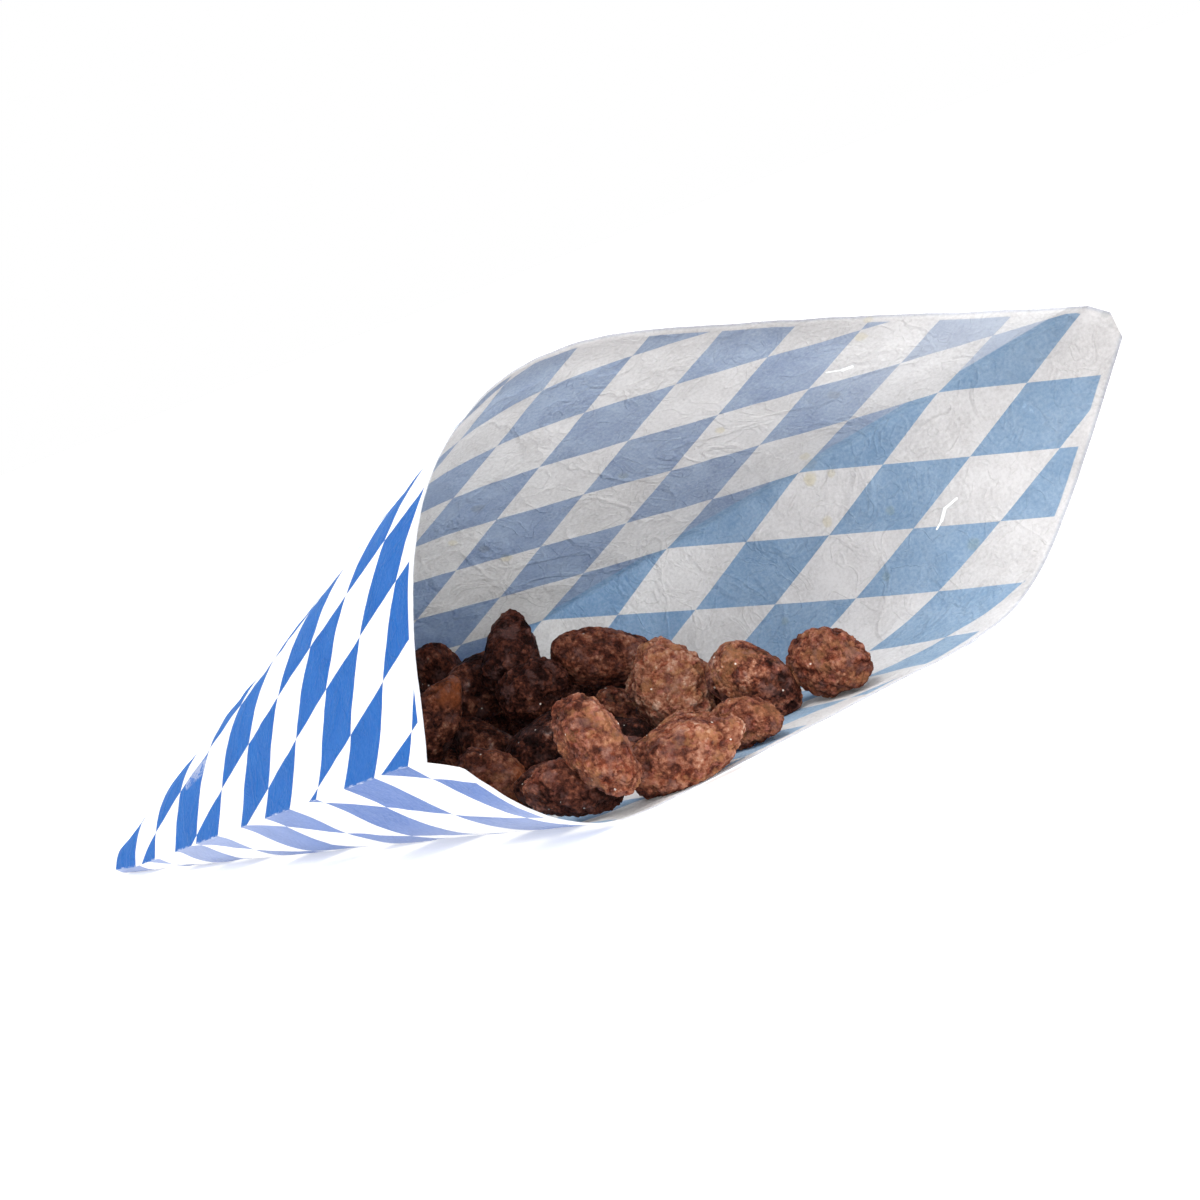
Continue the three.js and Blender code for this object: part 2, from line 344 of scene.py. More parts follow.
class Shader:
    """A material's node tree, built from Python expressions."""

    def __init__(self, name):
        self.material = bpy.data.materials.new(name)
        self.material.use_nodes = True
        self.tree = self.material.node_tree
        self.tree.nodes.clear()

    def node(self, kind, settings=None, values=None):
        """A shader node: its kind, its settings, then its sockets' values or links by name or number."""
        made = self.tree.nodes.new("ShaderNode" + kind)
        for key, value in (settings or {}).items():
            if key == "ramp":
                ramp = made.color_ramp
                while len(ramp.elements) > 1:
                    ramp.elements.remove(ramp.elements[-1])
                ramp.elements[0].position, ramp.elements[0].color = value[0]
                for place, colour in value[1:]:
                    ramp.elements.new(place).color = colour
            else:
                setattr(made, key, value)
        for key, value in (values or {}).items():
            value = getattr(value, "socket", value)
            if hasattr(value, "is_output"):
                self.tree.links.new(value, made.inputs[key])
            else:
                made.inputs[key].default_value = value
        return made

    def number(self, kind, settings, values):
        """The number that a node makes from its sockets' values, in their order."""
        return Value(self, self.node(kind, settings, dict(enumerate(values))).outputs[0])

    def attribute(self, name):
        """A number stored on the mesh's points."""
        return Value(self, self.node("Attribute", {"attribute_name": name}).outputs["Fac"])

    def objects(self):
        """Object coordinates."""
        return self.node("TexCoord").outputs["Object"]

    def sheet(self):
        """The two coordinates of the flat sheet, in lozenge sides."""
        place = self.node("UVMap", {"uv_map": "Sheet"}).outputs[0]
        split = self.node("SeparateXYZ", values={0: place})
        return Value(self, split.outputs[0]), Value(self, split.outputs[1])

    def noise(self, vector, scale, detail=3.0, roughness=0.5, distortion=0.0):
        """Noise from 0 to 1 at a scale."""
        values = {"Vector": vector, "Scale": scale, "Detail": detail}
        values.update({"Roughness": roughness, "Distortion": distortion})
        return Value(self, self.node("TexNoise", values=values).outputs["Fac"])

    def cells(self, vector, scale):
        """A cell pattern: distance to the cell's grain, and the cell's random number."""
        made = self.node("TexVoronoi", values={"Vector": vector, "Scale": scale})
        split = self.node("SeparateColor", values={0: made.outputs["Color"]})
        return Value(self, made.outputs["Distance"]), Value(self, split.outputs[0])

    def mix(self, share, first, second, blend="MIX"):
        """Two colours mixed by a share from 0 to 1."""
        settings = {"data_type": "RGBA", "blend_type": blend, "clamp_factor": True}
        return self.node("Mix", settings, {0: share, 6: first, 7: second}).outputs[2]

    def bump(self, height, distance, strength):
        """A normal bent by a height."""
        values = {"Height": height, "Distance": distance, "Strength": strength}
        return self.node("Bump", values=values).outputs["Normal"]

    def finish(self, values):
        """The surface: one principled shader with these sockets."""
        surface = self.node("BsdfPrincipled", values=values)
        self.node("OutputMaterial", values={"Surface": surface.outputs[0]})
        return self.material


def operation(kind):
    """A method of Value that makes a Math node of this kind."""
    return lambda value, *others: value.shader.number("Math", {"operation": kind}, (value, *others))


class Value:
    """A number socket that works in Python arithmetic."""

    def __init__(self, shader, socket):
        self.shader, self.socket = shader, socket

    __add__ = __radd__ = operation("ADD")
    __sub__ = operation("SUBTRACT")
    __mul__ = __rmul__ = operation("MULTIPLY")
    __truediv__ = operation("DIVIDE")
    __abs__ = operation("ABSOLUTE")
    floor = operation("FLOOR")
    modulo = operation("FLOORED_MODULO")
    below = operation("LESS_THAN")
    least = operation("MINIMUM")
    most = operation("MAXIMUM")

    def __rsub__(self, other):
        return self.shader.number("Math", {"operation": "SUBTRACT"}, (other, self))

    def step(self, low, high):
        """0 below low, 1 above high, smooth between; reversed if high is less than low."""
        start, end = (1.0, 0.0) if high < low else (0.0, 1.0)
        values = (self, min(low, high), max(low, high), start, end)
        return self.shader.number("MapRange", {"interpolation_type": "SMOOTHSTEP"}, values)


def opaque(colour):
    """An RGBA tuple from a colour property."""
    return (*colour, 1.0)


def print_mask(x, y):
    """Where the ink is: lozenges by parity of two families of slanted lines.

    Rows and columns count the lines crossed along the sheet; a cell is inked when their sum is even.
    The print is the same on both panels, mirrored at the folds.
    """
    y = abs(y)
    along, across = 2 * math.cos(HALF_ANGLE * DEG), 2 * math.sin(HALF_ANGLE * DEG)
    row = ROW_START - x / along - y / across
    column = x / along - y / across + COLUMN_START
    return (row.floor() + column.floor()).modulo(2.0).below(0.5)


def stroke(x, y, start, end, width):
    """Nearness to a straight stroke on the sheet, all in millimetres: 1 on it, 0 beyond its width."""
    (x0, y0), (x1, y1) = start, end
    length = math.hypot(x1 - x0, y1 - y0)
    along_x, along_y = (x1 - x0) / length, (y1 - y0) / length
    from_x, from_y = x - (x0 + x1) / 2, y - (y0 + y1) / 2
    beyond = (abs(from_x * along_x + from_y * along_y) - length / 2).most(0.0)
    aside = abs(from_y * along_x - from_x * along_y)
    return (beyond * beyond + aside * aside).step(width * width, width * width * 0.3)


def spots(x, y, places, ragged):
    """Soft round marks on the sheet, each with its own size and strength, with a ragged edge."""
    total = None
    for spot_x, spot_y, size, strength in places:
        from_x, from_y = x - spot_x, y - spot_y
        reach = (from_x * from_x + from_y * from_y) * (1 / size**2)
        mark = (reach + ragged).step(1.3, 0.25) * strength
        total = mark if total is None else total.most(mark)
    return total


# Marks on the sheet, in millimetres from the apex and from the far fold. Two slits inside, as strokes with
# their widths; a place rubbed bare outside; stains and smudges inside, each with its size and strength.
SLITS = (
    ((246.8, 25.2), (249.5, 23.2), 0.28),
    ((249.5, 23.2), (251.6, 22.6), 0.5),
    ((252.8, -22.2), (249.4, -22.9), 0.32),
    ((249.4, -22.9), (247.7, -24.9), 0.45),
    ((247.7, -24.9), (245.9, -26.1), 0.26),
)
RUB = ((62.0, 41.5), (72.0, 48.5), 2.4)
STAINS = (
    (258.3, 29.4, 1.5, 0.55), (262.5, 33.0, 1.1, 0.5), (227.0, 4.2, 1.4, 0.5), (224.6, -2.5, 1.7, 0.7),
    (229.5, -4.0, 1.0, 0.5), (223.7, -12.7, 1.3, 0.6), (219.7, 26.6, 1.2, 0.6), (268.0, 41.0, 1.6, 0.5),
    (196.0, 30.0, 1.3, 0.45), (238.0, -17.5, 1.2, 0.5), (252.0, -33.0, 1.5, 0.5), (231.0, -30.0, 1.1, 0.45),
    (205.0, -28.0, 1.0, 0.4), (159.8, 26.2, 1.5, 0.5), (155.3, 40.1, 1.2, 0.5),
)
SMUDGES = (
    (167.5, 46.0, 1.6, 0.5), (158.5, 32.6, 1.4, 0.45), (243.7, 17.7, 1.5, 0.5), (226.4, 0.8, 1.8, 0.35),
    (299.2, -3.4, 0.9, 0.6), (299.4, -6.0, 0.7, 0.4),
)

# Changes in the paper's colour, some of them painted light or painted shade: the places between which each
# one comes in, in millimetres, and how strong it is.
MARGIN = (1.9, 2.2)  # bare, along the rim
RIM_SHADE_LINE, RIM_SHADE_STRENGTH = (1.0, 0.2), 0.5  # painted shade, a bluish grey line inside along the rim
GLUE_LINE, GLUE_WEAR = (0.34, 0.16), 0.35  # worn, at the glued edge
LIT_FROM_GLUE, LIT_TO_POINT, LIT_PRINT_SHARE = (12.0, 30.0), (125.0, 50.0), 0.17  # painted light on the print outside
LIT_CORNER_ALONG, LIT_CORNER_ACROSS, LIT_CORNER_SHARE = (232.0, 272.0), (45.0, 12.0), 0.32  # painted light on the print in the upper corner inside
SHADE_ALONG = (140.0, 225.0)  # painted shade on the inside, darker towards the mouth
SHADE_BELOW, SHADE_RIM, SHADE_SHARE = (245.0, 300.0), (12.0, 3.0), 0.6  # painted shade again, below and at the upper rim
# The lower ink outside, its blue made paler with painted light from the floor: from the far fold, in lozenge
# sides, towards the glued edge, and beyond a slope.
LOWER_FOLD, LOWER_GLUE, LOWER_SLOPE = (0.0, -0.015), (46.0, 28.0), (0.3, 0.5)
RIM_SHADE_TINT = (0.62, 0.68, 0.82, 1.0)
STAIN_TINT = (0.93, 0.86, 0.62, 1.0)
SMUDGE_GREY = (0.25, 0.26, 0.26, 1.0)
SLIT_SHADE = (0.25, 0.28, 0.32, 1.0)
SLIT_WHITE = (0.95, 0.95, 0.95, 1.0)


def paper_material(name, inks, looks, outside):
    """Printed paper: lozenges on white, with the marks and changes listed above, crumpled in the bump."""
    s = Shader(name)
    x, y = s.sheet()
    mm_x, mm_y = x * LOZENGE, y * LOZENGE
    paper, shaded_paper = opaque(looks.paper), opaque(looks.shaded_paper)
    diagonal = math.sqrt(0.5) * LOZENGE
    to_upper = UPPER_LEG - (x + y) * diagonal
    to_lower = LOWER_LEG - (x - y) * diagonal
    to_rim = to_upper.least(to_lower)
    to_glue = (x - abs(y)) * diagonal
    flat = s.node("CombineXYZ", values={0: x, 1: y, 2: 0.0}).outputs[0]
    grain = s.noise(flat, 26.0, 4.0, 0.65)
    mottle = s.noise(flat, 2.6, 4.0, 0.6)
    cloud = s.noise(flat, 0.7)
    bare_line = to_glue.step(*GLUE_LINE) * s.noise(flat, 7.0).step(0.45, 0.65)
    if outside:
        bare_line = bare_line.most(stroke(mm_x, mm_y, *RUB) * (grain + mottle).step(0.9, 1.05))
        # Painted light: where the paler lower ink outside is laid, on the strip by the glued edge.
        lower_side = y.step(*LOWER_FOLD) * to_glue.step(*LOWER_GLUE) * (abs(y) / x).step(*LOWER_SLOPE)
    else:
        lower_side = (y - x * 0.011).step(0.015, -0.015)

    patchy = (grain - 0.5) * 2.6 + (mottle - 0.5) * 2.0 + 0.5
    upper, lower = (s.mix(patchy, opaque(ink), opaque(deep)) for ink, deep in inks)
    if outside:
        # Painted light: the print outside fades towards white near the glued edge and towards the point.
        pale = (to_glue.step(*LIT_FROM_GLUE) * LIT_PRINT_SHARE).most(mm_x.step(*LIT_TO_POINT) * LIT_PRINT_SHARE)
        inked = s.mix(lower_side, upper, s.mix(pale, lower, paper))
    else:
        # Painted light: the print inside turns paler on the upper panel near the far fold, towards the
        # mouth.
        thin = mm_x.step(*LIT_CORNER_ALONG) * mm_y.step(*LIT_CORNER_ACROSS) * (1 - lower_side)
        inked = s.mix(thin * LIT_CORNER_SHARE, s.mix(lower_side, upper, lower), paper)
    greyer = (grain - 0.5) * 2.4 + (mottle - 0.5) * 1.2 + cloud.step(0.35, 0.7) * 0.5 + 0.2
    white = s.mix(greyer, paper, opaque(looks.shade))
    ink = print_mask(x, y) * to_rim.step(*MARGIN)
    colour = s.mix(ink * (1 - bare_line * GLUE_WEAR), white, inked)

    ridges = (1 - abs(s.noise(flat, 0.8, 4.0, 0.55, 0.8) - 0.5) * 22).most(0.0)
    ridges = ridges + (1 - abs(s.noise(flat, 2.3, 3.0, 0.5, 1.2) - 0.52) * 26).most(0.0) * 0.5
    # Painted shade: the paper is darker along its crumple ridges, outside and inside.
    colour = s.mix(ridges.least(1.0) * 0.07, colour, shaded_paper, "MULTIPLY")
    if not outside:
        # Painted shade: the inside is darker towards the mouth, on the lower panel near the mouth and along
        # the upper rim, with a bluish grey line along the whole rim.
        worn = (lower_side * mm_x.step(*SHADE_BELOW)).most(to_upper.step(*SHADE_RIM) * (1 - thin))
        colour = s.mix(mm_x.step(*SHADE_ALONG), colour, shaded_paper, "MULTIPLY")
        colour = s.mix(worn * SHADE_SHARE, colour, shaded_paper, "MULTIPLY")
        colour = s.mix(to_rim.step(*RIM_SHADE_LINE) * RIM_SHADE_STRENGTH, colour, RIM_SHADE_TINT, "MULTIPLY")
        colour = inside_marks(s, colour, mm_x, mm_y, flat)

    height = ridges * 0.35 + s.noise(flat, 4.0, 4.0, 0.6) * 0.5 + grain * 0.12
    values = {"Base Color": colour, "Roughness": grain * 0.2 + 0.55, "Normal": s.bump(height, 0.0007, 0.8)}
    values.update({"Specular IOR Level": 0.15, "Subsurface Weight": 0.75})
    values.update({"Subsurface Radius": (1.0, 1.0, 1.0), "Subsurface Scale": 0.0005})
    return s.finish(values)


def inside_marks(s, colour, x, y, flat):
    """The inside's colour with its yellow stains, grey smudges, and slits with a faint painted shadow along
    them.
    """
    ragged = (s.noise(flat, 9.0, 3.0, 0.6) - 0.5) * 2.2
    colour = s.mix(spots(x, y, STAINS, ragged) * 0.8, colour, STAIN_TINT, "MULTIPLY")
    colour = s.mix(spots(x, y, SMUDGES, ragged) * 0.6, colour, SMUDGE_GREY)
    near, cut = None, None
    for start, end, width in SLITS:
        edge, hole = stroke(x, y, start, end, width * 1.9), stroke(x, y, start, end, width)
        near, cut = (edge, hole) if near is None else (near.most(edge), cut.most(hole))
    return s.mix(cut, s.mix(near * 0.12, colour, SLIT_SHADE), SLIT_WHITE)


# Features of the crust: how many there are in a metre, and how much they and its height vary its lightness.
PATCHES, PATCHES_VARY = 170.0, 0.85
MOTTLE, MOTTLE_VARIES = 620.0, 0.6
GRANULES, GRANULES_VARY = 1250.0, 0.26
FINE, FINE_VARIES = 1500.0, 0.75
SHEEN_PATCHES, SPECKS = 260.0, 640.0
# Painted highlight and shade in part: raised crust is made lighter and pits darker.
HEIGHT_VARIES = 0.6

# The crust's browns, by lightness; the lowest, below zero, is blackened caramel and painted shade for the
# crumb and the almonds deepest in shade.
BROWNS = ((-0.35, "char"), (0.0, "burnt"), (0.3, "brown"), (0.52, "russet"), (0.78, "tan"), (1.0, "pale"))

# Tints over the browns: the colour and how it is mixed; how many patches there are in a metre, and their
# noise's roughness; the noise and the almond's tone between which they come in; and their strength.
TINTS = (
    ("amber", "MULTIPLY", 420.0, 0.6, (0.5, 0.6), (0.1, 0.6), 0.6),
    ("honey", "MIX", 240.0, 0.6, (0.5, 0.62), (0.37, 0.63), 0.5),
    ("rosy", "MIX", 560.0, 0.65, (0.56, 0.68), (0.2, 0.6), 0.45),
)


def crust_material(name, looks, gloss, contrast):
    """Caramelised sugar crust: dark in its pits and tan on its grains.

    Its lightness is the almond's own, plus its height and several noises, through a ramp of browns; the
    height's part is partly painted highlight on raised crust and painted shade in pits. Over that lie
    redder, yellower and pinkish patches, bare orange caramel, a painted greyish sheen and sugar specks.
    """
    s = Shader(name)
    place = s.objects()
    height = s.attribute("crust_height")
    tone = s.attribute("crust_tone")
    warm = s.attribute("crust_warm")
    patches = s.noise(place, PATCHES, 3.0, 0.6, 0.5)
    mottle = s.noise(place, MOTTLE, 4.0, 0.7, 0.3)
    fine = s.noise(place, FINE, 3.0, 0.7)
    grain_edge, granule = s.cells(place, GRANULES)
    uneven = (granule - 0.5) * GRANULES_VARY + (height - 0.5) * HEIGHT_VARIES
    uneven = uneven + (patches - 0.5) * PATCHES_VARY
    uneven = uneven + (mottle - 0.5) * MOTTLE_VARIES + (fine - 0.5) * FINE_VARIES
    light = tone + uneven * contrast
    lowest = BROWNS[0][0]
    ramp = [((at - lowest) / (1 - lowest), opaque(getattr(looks, brown))) for at, brown in BROWNS]
    colour = s.node("ValToRGB", {"ramp": ramp}, {0: (light - lowest) / (1 - lowest)}).outputs[0]
    for tint_name, blend, scale, roughness, noises, tones, strength in TINTS:
        patch = s.noise(place, scale, 3.0, roughness).step(*noises) * tone.step(*tones)
        colour = s.mix(patch * strength, colour, opaque(getattr(looks, tint_name)), blend)
    bare = (warm + (patches - 0.5) * 0.9 + (mottle - 0.5) * 0.3).step(0.5, 1.05)
    colour = s.mix(bare, colour, opaque(looks.orange))
    # Painted sheen: greyish purple patches on all but the darkest almonds stand in for the sky reflected in
    # the sugar.
    sheen = s.noise(place, SHEEN_PATCHES, 3.0, 0.6).step(0.52, 0.66) * (0.2 + 0.5 * fine) * tone.step(0.0, 0.2)
    colour = s.mix(sheen, colour, opaque(looks.sheen))
    distance, chosen = s.cells(place, SPECKS)
    speck = distance.step(0.2, 0.1) * chosen.step(0.945, 0.965)
    colour = s.mix(speck, colour, opaque(looks.sugar))
    roughness = 0.6 - gloss * 0.15 - speck * 0.3 + (mottle - 0.5) * 0.3
    coat = (height.step(0.45, 0.8) * mottle.step(0.42, 0.6) * gloss + speck * 0.5).least(1.0)
    normal = s.bump(fine * 0.7 - grain_edge * 0.8 + mottle * 0.4, 0.0007, 0.9 - 0.2 * gloss)
    values = {"Base Color": colour, "Roughness": roughness, "Normal": normal, "Coat Weight": coat}
    values.update({"Coat Roughness": 0.22, "Specular IOR Level": 0.05})
    return s.finish(values)


# ---------------- almonds

# Each almond: centre from the apex, then length, width and thickness, in millimetres; heading, pitch and
# roll in degrees; how much it narrows towards its point, how lumpy and how grainy its crust is, how light it
# is, how much lighter towards the point, which is painted light or shade along the almond, and how much bare
# caramel shows there. Most of those deep in the bag, and of those hidden under others, share the last six.
COLUMNS = (
    "x", "y", "z", "length", "width", "thick", "heading", "pitch", "roll",
    "taper", "lumps", "grains", "tone", "end_light", "warm",
)
ROUGH_ALMONDS = (
    (169, -17.5, 8, 18, 12.5, 12, 10, -40, 60, 0.18, 0.7, 0.6, 0.46, 0.15, 0.85),
    (216.5, -35, 15.5, 22.5, 12.5, 11, -5, -65, 65, 0.1, 0.9, 1, 0.54, 0.05, 0.35),
    (207.5, -35.5, 8, 19.5, 10.5, 9, 35, -25, 80, 0.15, 0.9, 0.9, 0.27, -0.2, 0),
    (195.5, 15, 11.5, 23, 16.5, 15, -32, -58, 17, 0.1, 1.2, 0.75, 0.76, 0, 0),
    (223, -19, 6, 24.5, 13.5, 12.5, 40, 5, 85, 0.22, 0.9, 1, 0.56, 0.12, 0),
    (225, -1, 5.5, 16, 10, 9.5, 15, -10, 75, 0.18, 0.8, 0.8, 0.5, 0, 0),
    (229, 26, 7.5, 19, 14, 12.5, 0, -20, 65, 0.1, 1.15, 0.65, 0.52, 0, 0),
)
DARK_ALMONDS = (
    (153.5, 16.5, 27.5, 19, 13, 11.5, 85, 60, 50, 0.45, 0.7, 0.8, 0.2, 0, 0),
    (162.5, 9.5, 19.5, 17.5, 13.5, 12.5, 20, 20, 90, 0.15, 0.9, 0.8, 0.21, 0, 0),
    (172, 25, 19.5, 25.5, 12.5, 11, 40, -25, 80, 0.15, 0.45, 0.7, 0.4, 0, 0),
    (122.5, 23.5, 25, 20, 12, 11, -55, 60, -170, 0.3, 0.5, 0.4, 0.36, 0, 0),
)
GLAZED_ALMONDS = (
    (138.5, 19.5, 21.5, 22, 14, 12, 65, 15, 75, 0.2, 0.5, 0.5, 0.28, 0, 0),
    (142, -3, 20, 22, 11, 10, 43, 45, 85, 0.15, 0.25, 0.35, 0.36, 0, 0.8),
    (142, 8.5, 9.5, 18.5, 11.5, 10.5, 5, -60, 55, -0.35, 0.45, 0.3, 0.35, 0.1, 0.7),
    (175, -5, 11, 21, 11, 10, 45, 20, 80, 0.18, 0.25, 0.3, 0.09, 0, 0),
    (177.5, 17, 6, 18, 10.5, 9.5, 20, -70, 70, 0.15, 0.65, 0.6, 0.48, 0, 0),
    (215.5, 17.5, 9, 21, 14, 12, 15, -45, 65, 0.15, 0.5, 0.6, 0.48, -0.15, 0),
)
# Painted shade in part: the low tones of the almonds deep in the bag and under others stand for the shade
# they lie in.
DEEP = (0.18, 0.5, 0.5, 0.12, 0, 0.1)
HIDDEN = (0.18, 0.5, 0.6, 0.22, 0, 0)
UNDER_ALMONDS = (
    (94, 12, 14, 21, 13, 12, 25, 10, 0, *DEEP),
    (101, -10, 12, 22, 13, 11, -20, 15, 0, *DEEP),
    (85, -1, 7, 20, 12, 11, 5, 5, 0, *DEEP),
    (111, 9, 7, 22, 13, 11, 60, 0, 0, *DEEP),
    (123, -20, 10, 22, 13, 12, -25, 10, 0, *DEEP),
    (133, -7, 7, 21, 12, 11, 35, 0, 0, *DEEP),
    (152, 35, 10, 22, 12, 11, 40, 5, 0, 0.18, 0.5, 0.5, 0.19, 0, 0.1),
    (106, 3, 19, 20, 12, 11, -40, 10, 0, *DEEP),
    (143, -23, 9, 21, 13, 11, 20, 10, 0, *DEEP),
    (132, 28, 10, 20, 12, 11, 50, 20, 0, 0.18, 0.5, 0.5, 0.4, 0, 0.1),
    (74, 5, 12, 19, 12, 11, -15, 20, 0, *DEEP),
    (65, -2, 6, 19, 12, 10, 10, 5, 0, *DEEP),
    (130, 8, 7, 20, 12, 11, -60, 0, 0, 0.18, 0.5, 0.5, 0.3, 0, 0.1),
    (186, -19, 5.5, 17, 10.5, 9, 10, 0, 0, 0.18, 0.5, 0.6, 0.32, 0, 0),
    (200, -13, 5.5, 18, 11, 9.5, 75, 0, 10, *HIDDEN),
    (188.5, 2, 6, 19, 11.5, 10.5, -15, 0, 0, 0.18, 0.5, 0.6, 0.05, 0, 0),
    (206, 1, 5, 17, 10.5, 8.5, 60, 0, 0, 0.18, 0.8, 0.6, 0.58, 0, 0),
    (155, -6, 6.5, 21, 12, 10.5, 0, 0, 0, *HIDDEN),
    (163, 9, 6, 20, 11.5, 10.5, 60, 0, 0, *HIDDEN),
    (173, 30.5, 7.5, 20, 12, 10.5, 25, 0, 0, *HIDDEN),
    (155, 20.5, 6, 19, 12, 10.5, -20, 0, 0, *HIDDEN),
    (203, 27, 5.5, 16, 10, 9, 20, 0, 0, 0.18, 0.6, 0.6, 0.2, 0, 0),
)

# Each kind of almond: its table and first seed; how finely it is meshed, in rings and in points round each
# ring; and its crust's gloss and contrast.
KINDS = {
    "rough_almonds": (ROUGH_ALMONDS, 1, 96, 142, 0.5, 0.95),
    "dark_almonds": (DARK_ALMONDS, 11, 96, 142, 0.5, 1.15),
    "glazed_almonds": (GLAZED_ALMONDS, 21, 88, 130, 0.9, 1.4),
    "under_almonds": (UNDER_ALMONDS, 41, 50, 78, 0.5, 1.5),
}

# Crust of an almond: how blunt its ends are, its slow waves as a share of its size, and the sizes of its
# features in millimetres, with how far the small ones are bent out of line.
FULLNESS = 0.88
CRUST_WAVE = 0.045
LUMP_SIZE = 4.4
PIT_SIZE = 4.3
CRACK_SIZE = 3.0
KNOB_SIZE = 2.4
GRAIN_SIZE = 1.0
GRIT_SIZE = 0.5
BEND, BEND_SIZE = 1.3, 3.1

# How far the features move a wholly lumpy and grainy crust, in millimetres; lumps rise a little on every
# almond, and pits are no deeper above a limit. Then how much each feature lightens or darkens the crust,
# partly its own colour and partly painted highlight on raised features and painted shade in cracks and pits.
LUMP_RISE, LEAST_LUMP_RISE, KNOB_RISE, GRAIN_RISE, GRIT_RISE = 0.6, 0.1, 0.95, 0.44, 0.2
CRACK_DEPTH, PIT_DEPTH, PIT_LIMIT = 0.4, 0.55, 0.7
LUMP_LIGHT, KNOB_LIGHT, GRAIN_LIGHT, CRACK_DARK, PIT_DARK = 0.4, 1.1, 0.8, 0.8, 1.6

# Least gap between the paper's inner face and the almonds, and the crumb, in millimetres, and the place in
# the cross-section that points move towards where they come nearer.
ALMOND_GAP = 0.45
CRUMB_GAP = 0.6
SECTION_MIDDLE = (0.0, 17.0)


def turned_axes(heading, pitch, roll):
    """The almond's long, wide and thin directions, as columns, after roll, then pitch, then heading."""
    turn = np.eye(3)
    for angle, (i, j) in ((heading, (0, 1)), (pitch, (0, 2)), (roll, (1, 2))):
        c, s = math.cos(angle * DEG), math.sin(angle * DEG)
        step = np.eye(3)
        step[[i, i, j, j], [i, j, i, j]] = [c, -s, s, c]
        turn = turn @ step
    return turn


def kept_inside(points, gap):
    """Points moved in towards the bag's middle line where they come nearer to the paper than a gap."""
    outline = SHEET_WAYS[:, 1:] / SHEET_WAYS[:, :1] * SECTION
    middle = np.array(SECTION_MIDDLE)
    around = np.arctan2(outline[:, 1] - middle[1], outline[:, 0] - middle[0])
    order = np.argsort(around)
    reach = np.linalg.norm(outline - middle, axis=1)
    scale = points[:, 0] / SECTION
    away = points[:, 1:] / scale[:, None] - middle
    far = np.linalg.norm(away, axis=1)
    bearing = np.arctan2(away[:, 1], away[:, 0])
    most = np.interp(bearing, around[order], reach[order], period=2 * math.pi) - gap / scale
    share = np.minimum(1.0, most / np.maximum(far, 1e-6))
    moved = points.copy()
    moved[:, 1:] = (middle + away * share[:, None]) * scale[:, None]
    moved[:, 2] = np.maximum(moved[:, 2], gap)
    return moved


def almond_surface(row, seed, rings, around):
    """One almond: a unit ball drawn to its three sizes, tapered along its length, with a crust on it.

    Width and thickness shrink evenly towards the pointed end. Slow waves shift the surface by a few
    hundredths of its size. The crust then moves each point along the outward way by broad lumps, round
    knobs, fine grains and grit, less narrow cracks along one level of a noise, and a few round pits.
    """
    value = dict(zip(COLUMNS, row))
    ball, faces = unit_ball(rings, around, FULLNESS)
    half = np.array([value["length"], value["width"], value["thick"]]) / 2
    broad = 1 - value["taper"] * ball[:, :1]
    wave = np.sin(4 * ball[:, 0] + 1.9 * seed) * np.cos(3.5 * ball[:, 1] + 2.3 * seed)
    ripple = np.sin(5 * ball[:, 2] + 3.1 * ball[:, 1] + 1.3 * seed)
    crust = 1 + CRUST_WAVE * (wave + 0.8 * ripple)
    shape = ball * np.concatenate([np.ones_like(broad), broad, broad], axis=1) * crust[:, None] * half
    outward = unit(ball / half)
    bends = [layered_noise(shape / BEND_SIZE + 9 * k, 7 * seed + k, 2) for k in range(3)]
    bent = shape + BEND * np.column_stack(bends)
    lumps = (layered_noise(shape / LUMP_SIZE, 31 * seed, 2) - 0.5) * 2
    knobs = 0.45 - cell_noise(bent / KNOB_SIZE, 57 * seed)
    level = np.abs(layered_noise(bent / CRACK_SIZE, 71 * seed, 3) - 0.5)
    cracks = np.clip(1 - level / 0.04, 0, 1)
    pits = np.clip((0.3 - cell_noise(shape / PIT_SIZE, 83 * seed)) / 0.1, 0, 1)
    grains = 0.47 - cell_noise(bent / GRAIN_SIZE, 91 * seed)
    grit = (layered_noise(shape / GRIT_SIZE, 13 * seed, 2) - 0.5) * 2
    lumpy, grainy = value["lumps"], value["grains"]
    rise = lumpy * (LUMP_RISE * lumps + KNOB_RISE * knobs - CRACK_DEPTH * lumpy * cracks)
    rise -= PIT_DEPTH * min(lumpy, PIT_LIMIT) * pits
    rise += grainy * (GRAIN_RISE * grains + GRIT_RISE * grit) + LEAST_LUMP_RISE * lumps
    points = shape + outward * rise[:, None]
    # Lightness from the relief: partly the crust's own colour, partly painted highlight on raised features
    # and painted shade in cracks and pits.
    relief = LUMP_LIGHT * lumps + KNOB_LIGHT * knobs + GRAIN_LIGHT * grains
    relief = relief - CRACK_DARK * cracks * lumpy - PIT_DARK * pits
    height = 0.5 + 0.5 * np.tanh(1.3 * relief)
    # Painted light or shade: one end of the almond lighter or darker than the other.
    tone = value["tone"] + value["end_light"] * ball[:, 0]
    warm = value["warm"] * np.clip(0.3 + ball[:, 0], 0, 1)
    axes = turned_axes(value["heading"], value["pitch"], value["roll"])
    placed = points @ axes.T + np.array([value["x"], value["y"], value["z"]])
    return placed, faces, height, tone, warm


def sugar_piece(name, points, faces, height, tone, warm, material):
    """A piece of the heap, with its crust's height, lightness and bare caramel stored on its points."""
    floats = {"crust_height": height, "crust_tone": tone, "crust_warm": warm}
    piece = mesh_object(name, to_frame(points), faces, floats=floats)
    piece.data.materials.append(material)
    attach(piece, "root")
    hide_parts("almond_heap")


